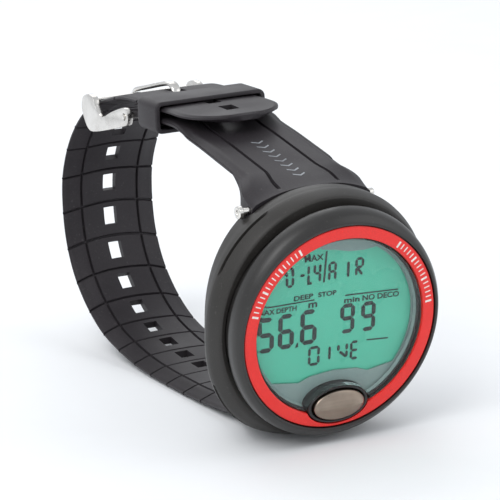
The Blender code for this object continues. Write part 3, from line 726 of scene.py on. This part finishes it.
def stripShape(path, outward, rows, columns, widthAt, outAt, holes, arcAt):
    # A strap as a grid of rows along its length and columns across it, with square holes
    points = []
    count = len(columns)
    for face in (0, 1):
        for run in rows:
            width = widthAt(run)
            for column in columns:
                shifted = run - arcAt(run, column)
                (y, z), normal = placeOn(path, shifted, outward)
                out = outAt(face, run, column)
                points.append((column * width, y + normal[0] * out, z + normal[1] * out))
    plane = len(rows) * count

    def corner(face, row, column):
        return face * plane + row * count + column

    solid = {}
    for row in range(len(rows) - 1):
        for column in range(count - 1):
            middleRun = (rows[row] + rows[row + 1]) / 2
            middle = (columns[column] + columns[column + 1]) / 2
            solid[row, column] = not any(
                low < middleRun < high and abs(middle) < half for low, high, half in holes)
    faces = []
    for (row, column), filled in solid.items():
        if not filled:
            continue
        square = [(row, column), (row, column + 1), (row + 1, column + 1), (row + 1, column)]
        faces.append(tuple(corner(0, *place) for place in square))
        faces.append(tuple(corner(1, *place) for place in reversed(square)))
        for (start, end), other in zip(zip(square, square[1:] + square[:1]), (
                (row - 1, column), (row, column + 1), (row + 1, column), (row, column - 1))):
            if not solid.get(other, False):
                faces.append((corner(0, *start), corner(1, *start), corner(1, *end), corner(0, *end)))
    used = sorted({index for face in faces for index in face})
    renamed = {old: new for new, old in enumerate(used)}
    return [points[old] for old in used], [tuple(renamed[index] for index in face) for face in faces]


def mirrored(half):
    return sorted({-value for value in half} | set(half))


def near(value, places, reach):
    return any(abs(value - place) < reach for place in places)


lowerSettings = {
    "half": 14.0, "slotHalf": 1.95, "slotLong": 5.2, "pitch": 10.35, "first": 10.3, "count": 18,
    "moved": 2.7, "movedFrom": 4, "grooveAt": 8.66, "grooveHalf": 0.42, "grooveDeep": 0.75,
    "crossBack": 4.4, "bulge": 0.8,
}
lowerPath = measured(lowerRoute)
lowerLength = lowerPath[1][-1]
slotRuns = []
for number in range(lowerSettings["count"]):
    run = lowerLength - lowerSettings["first"] - lowerSettings["pitch"] * number
    slotRuns.append(run - (lowerSettings["moved"] if number >= lowerSettings["movedFrom"] else 0.0))
crossRuns = [run + lowerSettings["crossBack"] for run in slotRuns[3:]]
crossRuns += [slotRuns[-1] + lowerSettings["crossBack"] - lowerSettings["pitch"] * k for k in range(1, 4)]


def lowerRows():
    wanted = []
    for run in slotRuns:
        half = lowerSettings["slotLong"] / 2
        wanted += [run - half, run - half + 0.35, run + half - 0.35, run + half]
    for run in crossRuns:
        half = lowerSettings["grooveHalf"]
        wanted += [run - half, run - 0.4 * half, run + 0.4 * half, run + half]
    fill = 0.0
    while fill < lowerLength - 13.0:
        if not near(fill, wanted, 0.7):
            wanted.append(fill)
        fill += 1.5
    for step in range(25):
        run = lowerLength - 13.0 * (1 - math.sin(math.pi / 2 * step / 24))
        if step == 24 or not near(run, wanted, 0.25):
            wanted.append(min(run, lowerLength))
    return sorted(wanted)


def lowerWidth(run):
    left = lowerLength - run
    width = ease(16.2, 14.0, (run - 5.0) / 7.0)
    if left < 13.0:
        width = 14.0 * math.sqrt(max(1 - (1 - left / 13.0) ** 2, 0.02))
    return width


def lowerOut(face, run, column):
    x = abs(column) * lowerSettings["half"]
    left = lowerLength - run
    edge = ease(0.0, 1.0, (x - 12.9) / 1.1)
    tip = ease(1.0, 0.0, left / 0.8)
    if face == 1:
        crown = ease(3.4, 0.1, run / 20.0)
        return 1.05 - crown * (0.25 + 0.75 * ease(0.0, 1.0, (x - 7.0) / 5.4)) - 0.45 * max(edge, tip)
    depth = ease(9.5, 1.05, (run - 1.5) / 16.0)
    out = -depth + 0.8 * ease(0.0, 1.0, (x - 8.9) / 4.6) + 0.25 * edge + 0.3 * tip
    if 30.0 < run < slotRuns[3] + 6.0:
        groove = lowerSettings["grooveHalf"] * 0.5
        crossed = near(run, crossRuns, groove)
        if crossed or abs(x - lowerSettings["grooveAt"]) < groove:
            out += lowerSettings["grooveDeep"]
    return out


def lowerArc(run, column):
    # Rows bow towards the tail, except near the case and at the tail's tip
    x = abs(column) * lowerSettings["half"]
    strength = min(ease(0.0, 1.0, (run - 22.0) / 12.0), ease(0.0, 1.0, (lowerLength - 40.0 - run) / 14.0))
    return lowerSettings["bulge"] * strength * (x / 8.66) ** 2 * (1 if x < 8.8 else 0.97)


grooveFraction = lowerSettings["grooveAt"] / lowerSettings["half"]
grooveStep = lowerSettings["grooveHalf"] / lowerSettings["half"]
lowerColumns = mirrored([
    0.0, lowerSettings["slotHalf"] / 14.0, 0.17, 0.3, 0.42, 0.54, grooveFraction - grooveStep,
    grooveFraction - 0.4 * grooveStep, grooveFraction + 0.4 * grooveStep, grooveFraction + grooveStep,
    0.70, 0.77, 0.84, 0.90, 0.93, 0.955, 0.975, 0.99, 1.0])
slotReach = lowerSettings["slotLong"] / 2
slotFraction = lowerSettings["slotHalf"] / lowerSettings["half"]
lowerHoles = [(run - slotReach, run + slotReach, slotFraction) for run in slotRuns]
canCut = loft([oval(23.9, 23.9, y) for y in (5.0, 21.6)])
lowerShape = stripShape(
    lowerPath, -1, lowerRows(), lowerColumns, lowerWidth, lowerOut, lowerHoles, lowerArc)
addPiece("lowerStrap", lowerShape, "strapRubber", "case", ["lower_strap"],
         cuts=[canCut, pinBore(-1, 1.15)])
print("lower strap made")

upperSettings = {
    "half": 14.0, "grooveAt": 7.0, "grooveHalf": 0.6, "grooveDeep": 0.95, "grooveFrom": 1.5,
    "grooveTo": 62.0, "gapHalf": 2.1, "gapFrom": 86.4, "gapTo": 96.0,
}
upperPath = measured(upperRoute)
upperLength = upperPath[1][-1]


def upperRows():
    found = []
    run = 0.0
    while run < upperLength - 0.4:
        found.append(run)
        run += 0.9 if run < 20 else 1.5
    return found + [upperLength - 0.35, upperLength]


def upperWidth(run):
    return ease(16.2, 14.0, (run - 5.0) / 7.0)


def upperOut(face, run, column):
    x = abs(column) * upperSettings["half"]
    left = upperLength - run
    edge = ease(0.0, 1.0, (x - 13.1) / 0.9)
    tip = ease(1.0, 0.0, left / 0.6)
    if face == 1:
        crown = ease(1.2, 0.15, (run - 40.0) / 8.0)
        settled = ease(1.6, 1.1, left / 6.0) - crown * (0.25 + 0.75 * ease(0.0, 1.0, (x - 11.6) / 1.6))
        started = 0.55 - 3.5 * (x / 14.0) ** 2.4
        out = ease(started, settled, run / 11.0) - 0.45 * max(edge, tip)
        ends = min(ease(0.0, 1.0, (run - upperSettings["grooveFrom"]) / 2.5),
                   ease(0.0, 1.0, (upperSettings["grooveTo"] - run) / 4.0))
        if abs(x - upperSettings["grooveAt"]) < upperSettings["grooveHalf"] * 0.6:
            out -= upperSettings["grooveDeep"] * ends
        return out
    depth = ease(9.5, 1.1, (run - 1.5) / 16.0)
    depth = ease(1.6, depth, left / 6.0)
    return -depth + 0.8 * ease(0.0, 1.0, (x - 8.7) / 5.3) + 0.2 * edge + 0.3 * tip


upperColumns = mirrored([value / 14.0 for value in (
    0.0, 2.2, 4.4, 5.8, 6.55, 6.75, 7.25, 7.45, 8.2, 9.6, 11.0, 11.7, 12.0, 12.4, 12.8, 13.2,
    13.5, 13.75, 13.9, 14.0)])
gapFrom = upperSettings["gapFrom"]
gapTo = upperSettings["gapTo"]
prongGap = sidePlate([(gapFrom, 20.0), (gapTo, 20.0), (gapTo, 35.0), (gapFrom, 35.0)],
                     -upperSettings["gapHalf"], upperSettings["gapHalf"])
pivot = (90.4, 27.2)
pivotBore = 0.95
upperShape = stripShape(
    upperPath, 1, upperRows(), upperColumns, upperWidth, upperOut, [], lambda run, column: 0.0)
addPiece("upperStrap", upperShape, "strapRubber", "case", ["upper_strap"],
         cuts=[canCut, pinBore(1, 1.15), prongGap, sidePlate(circle(pivot, pivotBore), -20.0, 20.0)])

# A row of plain chevrons where the strap carries its print
printSettings = {"from": 6.0, "pitch": 3.2, "count": 8, "half": 1.6, "rise": 1.1, "thick": 0.55}
chevrons = []
for number in range(printSettings["count"]):
    start = printSettings["from"] + printSettings["pitch"] * number
    for side in (-1, 1):
        corners = []
        half = printSettings["half"]
        rise = printSettings["rise"]
        thick = printSettings["thick"]
        for across, along in ((0.0, 0.0), (half, rise), (half, rise + thick), (0.0, thick)):
            for level in (0.0, 0.05):
                (y, z), normal = placeOn(upperPath, start + along, 1)
                out = upperOut(1, start + along, across / 14.0) + level
                corners.append((side * across, y + normal[0] * out, z + normal[1] * out))
        quads = [(0, 2, 4, 6), (1, 3, 5, 7), (0, 1, 3, 2), (2, 3, 5, 4), (4, 5, 7, 6), (6, 7, 1, 0)]
        chevrons.append((corners, quads))
addPiece("strapChevrons", joinShapes(chevrons), "strapPrint", "case")
print("upper strap made")

# ---- keeper


def keeperShape():
    drop = keeperLine["drop"]
    lean = math.hypot(1, drop)
    keeperFrom = keeperSettings["from"]
    outerX, outerZ = keeperSettings["outer"]
    innerX, innerZ = keeperSettings["inner"]
    innerRadius = keeperSettings["innerRadius"]
    rings = []
    sections = [
        (0.0, -0.4, 1.6), (0.1, -0.18, 1.82), (0.3, -0.05, 1.93), (0.6, 0.0, 1.95),
        (10.7, 0.0, 1.95), (11.0, -0.05, 1.93), (11.2, -0.18, 1.82), (11.3, -0.4, 1.6)]
    for along, grow, radius in sections:
        rings.append(keeperRing(keeperFrom + along, outerX + grow, outerZ + grow, radius, lean))
    for along, grow in ((11.3, 0.15), (11.15, 0.0), (0.15, 0.0), (0.0, 0.15)):
        rings.append(keeperRing(keeperFrom + along, innerX + grow, innerZ + grow, innerRadius + grow, lean))
    return loft(rings, joined=True)


def keeperRing(y, halfX, halfZ, radius, lean):
    ring = []
    for quarter, (i, j) in enumerate(((1, 1), (-1, 1), (-1, -1), (1, -1))):
        centre = (i * (halfX - radius), j * (halfZ - radius))
        for x, out in circle(centre, radius, 9, quarter * 90.0, 90.0):
            ring.append((x, y + out * keeperLine["drop"] / lean, lineHeight(y) + out / lean))
    return ring


addPiece("strapKeeper", keeperShape(), "strapRubber", "keeper_loop", ["keeper"])

# ---- buckle

buckleSettings = {"plateIn": 15.0, "plateOut": 16.5, "edge": 0.28, "bar": (117.7, 23.05),
                  "barHalf": (1.1, 0.7), "barTurn": 0.45}


def softened(outline, rounds=2):
    for _ in range(rounds):
        fresh = []
        for (ax, az), (bx, bz) in zip(outline, outline[1:] + outline[:1]):
            fresh.append((0.78 * ax + 0.22 * bx, 0.78 * az + 0.22 * bz))
            fresh.append((0.22 * ax + 0.78 * bx, 0.22 * az + 0.78 * bz))
        outline = fresh
    return outline


plateOutline = softened([
    *circle(pivot, 2.55, 6, 75.0, 165.0), (111.0, 16.2), (114.8, 16.6), (118.7, 20.8),
    (118.1, 24.4), (114.4, 26.4), (110.4, 26.5), (109.2, 23.6), (105.2, 22.1), (98.4, 26.2)])
barY, barZ = buckleSettings["bar"]
barLong, barThin = buckleSettings["barHalf"]
barOutlineYz = [(barY + barLong * math.cos(a), barZ + barThin * math.sin(a - buckleSettings["barTurn"]))
                for a in (2 * math.pi * k / 28 for k in range(28))]
plateIn = buckleSettings["plateIn"]
plateOut = buckleSettings["plateOut"]
addPiece("buckleFrame", sidePlate(plateOutline, -plateOut, -plateIn), "steelSatin", "buckle",
         ["buckle_frame"],
         joins=[sidePlate(plateOutline, plateIn, plateOut), sidePlate(barOutlineYz, -16.0, 16.0)],
         cuts=[sidePlate(circle(pivot, pivotBore), -20.0, 20.0)], bevel=buckleSettings["edge"], sharp=30.0)
pinRings = []
for x, radius in ((-16.9, 0.5), (-16.8, 0.7), (-16.6, 0.75), (16.6, 0.75), (16.8, 0.7), (16.9, 0.5)):
    pinRings.append([(x, y, z) for y, z in circle(pivot, radius)])
addPiece("bucklePin", loft(pinRings), "steelPin", "case", ["buckle_pin"])


def prongShape():
    spine = curveThrough([
        (91.0, 28.1), (92.0, 29.1), (92.7, 30.3), (93.3, 31.6), (94.6, 32.5), (96.6, 32.6),
        (100.0, 31.5), (104.0, 30.0), (109.0, 28.0), (113.6, 26.2), (117.6, 24.6), (120.2, 22.9)], 4)
    rings = []
    for number, (y, z) in enumerate(spine):
        before = spine[max(number - 1, 0)]
        after = spine[min(number + 1, len(spine) - 1)]
        run = math.dist(before, after)
        normal = (-(after[1] - before[1]) / run, (after[0] - before[0]) / run)
        left = (len(spine) - 1 - number) / 4
        thin = ease(0.55, 1.0, left / 1.2)
        ring = []
        for step in range(16):
            angle = 2 * math.pi * step / 16
            x = 1.3 * thin * math.copysign(abs(math.cos(angle)) ** 0.7, math.cos(angle))
            out = 0.66 * thin * math.copysign(abs(math.sin(angle)) ** 0.8, math.sin(angle))
            ring.append((x, y + normal[0] * out, z + normal[1] * out))
        rings.append(ring)
    return loft(rings)


addPiece("buckleProng", sidePlate(circle(pivot, 1.6), -1.8, 1.8), "steelSatin", "prong", ["buckle_prong"],
         joins=[prongShape()], cuts=[sidePlate(circle(pivot, pivotBore), -5.0, 5.0)])
print("keeper and buckle made")

# ---- CAD pieces that keep their shape take these finishes

carried = {
    "lens_gasket": "sealRubber", "display_surround": "innerGrey", "display_mask": "innerGrey",
    "display_chassis": "innerGrey", "backlight": "whitePlastic", "display_connector": "sealRubber",
    "switch": "steelPin", "circuit_board": "boardGreen", "processor": "sealRubber",
    "pressure_sensor": "steelPin", "buzzer": "contactBrass", "battery_tray": "innerGrey",
    "battery_contact": "contactBrass", "coin_cell": "steelPin", "back_cover": "caseRubber",
    "back_gasket": "sealRubber", "back_screw_1": "steelPin", "back_screw_2": "steelPin",
    "back_screw_3": "steelPin", "back_screw_4": "steelPin", "button_stem": "steelPin",
    "button_oring": "sealRubber", "button_spring": "steelPin", "battery_cover": "caseRubber",
    "battery_oring": "sealRubber",
}
for nodeName, lookName in carried.items():
    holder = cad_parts[nodeName].data
    holder.materials.clear()
    holder.materials.append(looks[lookName])
print("carried nodes finished:", len(carried))

# ---- floor, light and camera

floorSettings = {"size": 6.0, "gap": 0.0002, "colour": (0.93, 0.94, 0.95), "worn": (0.92, 0.93, 0.945)}
half = floorSettings["size"] / 2
floorMesh = bpy.data.meshes.new("floor")
floorCorners = [(-half, -half, 0), (half, -half, 0), (half, half, 0), (-half, half, 0)]
floorMesh.from_pydata(floorCorners, [], [(0, 1, 2, 3)])
floor = bpy.data.objects.new("floor", floorMesh)
floor.location.z = -floorSettings["gap"]
scene.collection.objects.link(floor)
looks["floorPale"] = moulded("floorPale", floorSettings["colour"], floorSettings["worn"], 0.8, spread=0.02,
                             grain=30.0, mottle=0.01, dust=0.0, bump=(0.0, 0.001))
floorMesh.materials.append(looks["floorPale"])

world = bpy.data.worlds.new("studio")
world.use_nodes = True
world.node_tree.nodes["Background"].inputs["Color"].default_value = (0.93, 0.96, 1.0, 1.0)
world.node_tree.nodes["Background"].inputs["Strength"].default_value = 0.8
scene.world = world

lamps = {
    "keyLight": {"at": (-0.55, -0.35, 0.75), "size": 0.55, "power": 3.4},
    "fillLight": {"at": (0.70, -0.60, 0.45), "size": 0.7, "power": 1.1},
    "backLight": {"at": (0.10, 0.75, 0.70), "size": 0.8, "power": 2.4},
}
target = Vector((0.0, -0.01, 0.035))
for lampName, lamp in lamps.items():
    light = bpy.data.lights.new(lampName, "AREA")
    light.energy = lamp["power"]
    light.size = lamp["size"]
    holder = bpy.data.objects.new(lampName, light)
    holder.location = lamp["at"]
    holder.rotation_euler = (target - holder.location).to_track_quat("-Z", "Y").to_euler()
    scene.collection.objects.link(holder)

cameraSettings = {"azimuth": 27.5222, "elevation": 21.8394, "roll": 1.4861,
                  "offset": (21.7823, -18.6183, -601.9446), "lens": 180.0, "sensor": 36.0}
turn = math.radians(cameraSettings["azimuth"])
rise = math.radians(cameraSettings["elevation"])
roll = math.radians(cameraSettings["roll"])
towards = Vector((-math.sin(turn) * math.cos(rise), -math.cos(turn) * math.cos(rise), math.sin(rise)))
level = Vector((0, 0, 1)).cross(towards).normalized()
upright = towards.cross(level)
rightward = math.cos(roll) * level + math.sin(roll) * upright
upward = math.cos(roll) * upright - math.sin(roll) * level
offset = cameraSettings["offset"]
place = -(rightward * offset[0] + upward * offset[1] + towards * offset[2])
tilt = Matrix.Rotation(math.radians(stance["lean"]), 3, "X")
camera = bpy.data.objects.new("camera", bpy.data.cameras.new("camera"))
camera.data.lens = cameraSettings["lens"]
camera.data.sensor_width = cameraSettings["sensor"]
camera.data.clip_start = 0.01
camera.data.clip_end = 20.0
columns = Matrix((tilt @ rightward, tilt @ upward, tilt @ towards)).transposed()
camera.matrix_world = Matrix.Translation(dialToRow @ place) @ columns.to_4x4()
scene.collection.objects.link(camera)
scene.camera = camera
scene.view_settings.view_transform = "Standard"
print("stage made")
